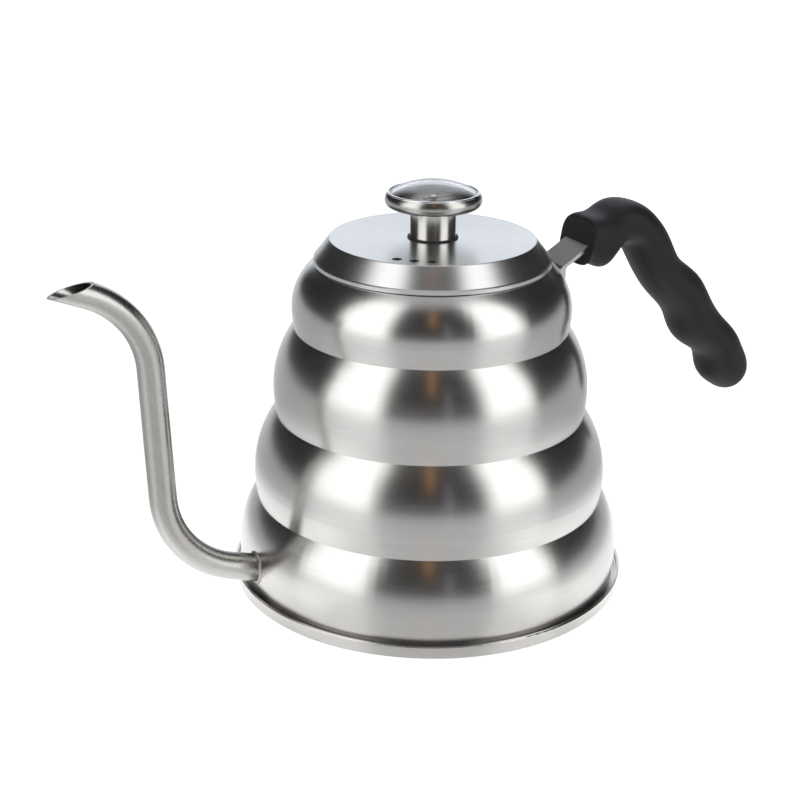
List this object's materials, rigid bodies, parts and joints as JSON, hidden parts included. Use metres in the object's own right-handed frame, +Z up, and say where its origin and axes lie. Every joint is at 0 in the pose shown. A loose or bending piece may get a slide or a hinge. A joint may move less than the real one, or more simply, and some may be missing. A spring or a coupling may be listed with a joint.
{
  "type": "gooseneck kettle",
  "caption": "Stainless steel pour-over kettle with a bulged body, a slim gooseneck spout, a black moulded side grip and a lid with a dial thermometer in its knob.",
  "frame": {"origin": "centre of the base on the table", "axes": "+Z up, +X towards the grip, -X towards the spout"},
  "size_m": [0.2801, 0.144, 0.1472],
  "materials": {
    "body_steel": "brushed around the body",
    "pan_steel": "satin, bright edge",
    "spout_steel": "brushed along the tube",
    "weld_steel": "bead of weld, satin",
    "strap_steel": "satin",
    "grip_black": "matte moulded resin",
    "screw_steel": "plated",
    "spring_steel": "plain",
    "insert_brass": "turned",
    "lid_steel": "brushed around",
    "skirt_steel": "satin",
    "gasket_rubber": "matte",
    "neck_steel": "turned, satin",
    "nut_steel": "plain",
    "bush_steel": "turned",
    "case_steel": "satin",
    "bezel_steel": "polished",
    "window_glass": "clear",
    "dial_paint": "pale satin with dark marks",
    "probe_steel": "satin",
    "guide_brass": "turned",
    "bimetal": "plain strip",
    "pointer_paint": "satin",
    "hub_brass": "turned, bright",
    "shaft_steel": "ground"
  },
  "bodies": {
    "kettle": {"body_shell": "body_steel", "bottom_pan": "pan_steel", "spout_tube": "spout_steel", "spout_weld": "weld_steel", "handle_strap": "strap_steel", "handle_grip": "grip_black", "handle_screw": "screw_steel", "handle_lock_washer": "spring_steel", "handle_insert": "insert_brass"},
    "lid": {"lid_shell": "lid_steel", "lid_skirt": "skirt_steel", "neck_gasket": "gasket_rubber", "knob_neck": "neck_steel", "lid_washer": "nut_steel", "clamp_nut": "nut_steel", "stem_bush": "bush_steel", "thermometer_case": "case_steel", "bezel_ring": "bezel_steel", "lens_gasket": "gasket_rubber", "lens": "window_glass", "dial_face": "dial_paint", "probe_tube": "probe_steel", "guide_bushes": "guide_brass", "bimetal_coil": "bimetal"},
    "pointer": {"pointer": "pointer_paint", "pointer_hub": "hub_brass", "pointer_shaft": "shaft_steel"}
  },
  "joints": [
    {"name": "lid_lift", "type": "slide", "parent": "kettle", "child": "lid", "axis": [0, 0, 1], "range_m": [0, 0.095]},
    {"name": "pointer_sweep", "type": "hinge", "parent": "lid", "child": "pointer", "pos_m": [0, 0, 0.1402], "axis": [0, 0, -1], "range_deg": [-54, 216], "deforming": ["bimetal_coil"]}
  ]
}
